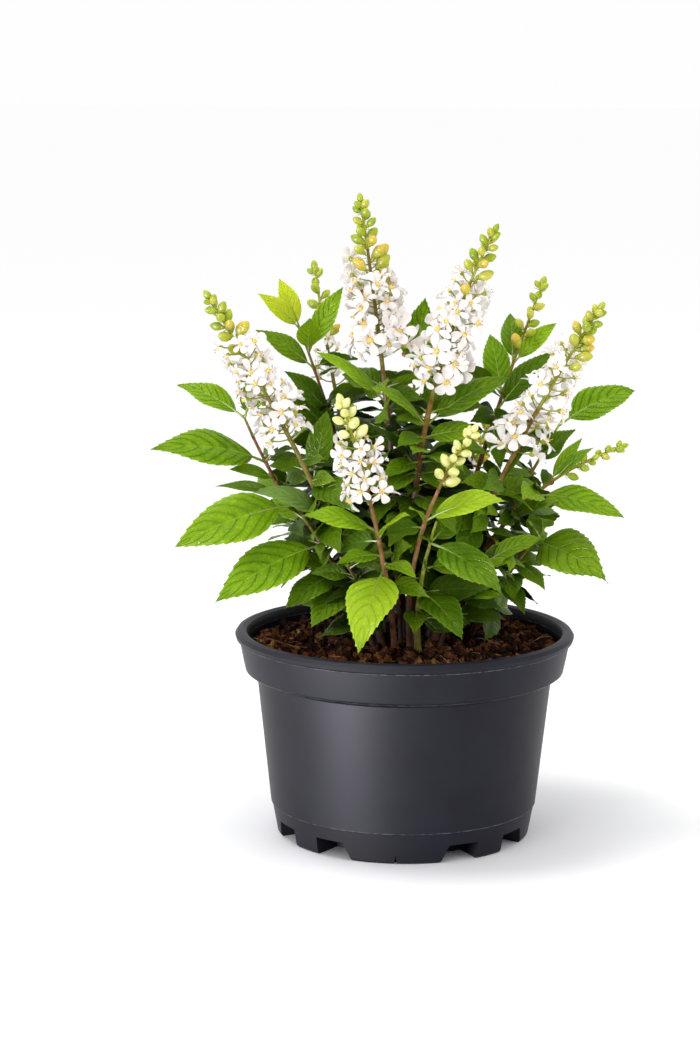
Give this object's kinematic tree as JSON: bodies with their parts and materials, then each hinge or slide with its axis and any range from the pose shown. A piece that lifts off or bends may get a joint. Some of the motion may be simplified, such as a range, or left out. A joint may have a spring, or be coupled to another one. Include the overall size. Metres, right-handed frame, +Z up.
{
  "type": "potted summersweet shrub",
  "caption": "Young flowering shrub in a round nursery pot: upright stems with toothed leaves and white flower spikes tipped with green buds.",
  "frame": {"origin": "centre of the pot's flat underside, on the pot's axis", "axes": "+Z up along the pot's axis; -Y is the front of the plant, which the picture looks at; +X is to the right seen from the front"},
  "size_m": [0.319, 0.2385, 0.424],
  "materials": {
    "pot_plastic": "satin moulded, dark grey",
    "soil": "loose peat and bark",
    "bark": "thin reddish-brown bark",
    "foliage": "semi-gloss leaf"
  },
  "bodies": {
    "root": {"pot": "pot_plastic", "soil": "soil", "stem_west": "bark", "stem_centre": "bark", "stem_mid_east": "bark", "stem_east": "bark", "stem_back_east": "bark", "stem_back_west": "bark", "stem_leafy_back_west": "bark", "stem_outer_west": "bark", "stem_low_west": "bark", "stem_front_west": "bark", "stem_front_east": "bark", "stem_low_raceme": "bark", "stem_leafy_east": "bark", "stem_low_east": "bark", "stem_green_front": "bark", "stem_north": "bark", "stem_back_spire_west": "bark", "stem_back_spire_east": "bark", "stem_back_leafy": "bark", "stem_back_low_west": "bark", "stem_inner_west": "bark", "stem_inner_front": "bark", "stem_inner_east": "bark", "stem_inner_back": "bark", "stem_back_low_east": "bark", "foliage_west": "foliage", "foliage_centre": "foliage", "foliage_mid_east": "foliage", "foliage_east": "foliage", "foliage_back_east": "foliage", "foliage_back_west": "foliage", "foliage_leafy_back_west": "foliage", "foliage_outer_west": "foliage", "foliage_low_west": "foliage", "foliage_front_west": "foliage", "foliage_front_east": "foliage", "foliage_low_raceme": "foliage", "foliage_leafy_east": "foliage", "foliage_low_east": "foliage", "foliage_green_front": "foliage", "foliage_north": "foliage", "foliage_back_spire_west": "foliage", "foliage_back_spire_east": "foliage", "foliage_back_leafy": "foliage", "foliage_back_low_west": "foliage", "foliage_inner_west": "foliage", "foliage_inner_front": "foliage", "foliage_inner_east": "foliage", "foliage_inner_back": "foliage", "foliage_back_low_east": "foliage"}
  },
  "joints": []
}
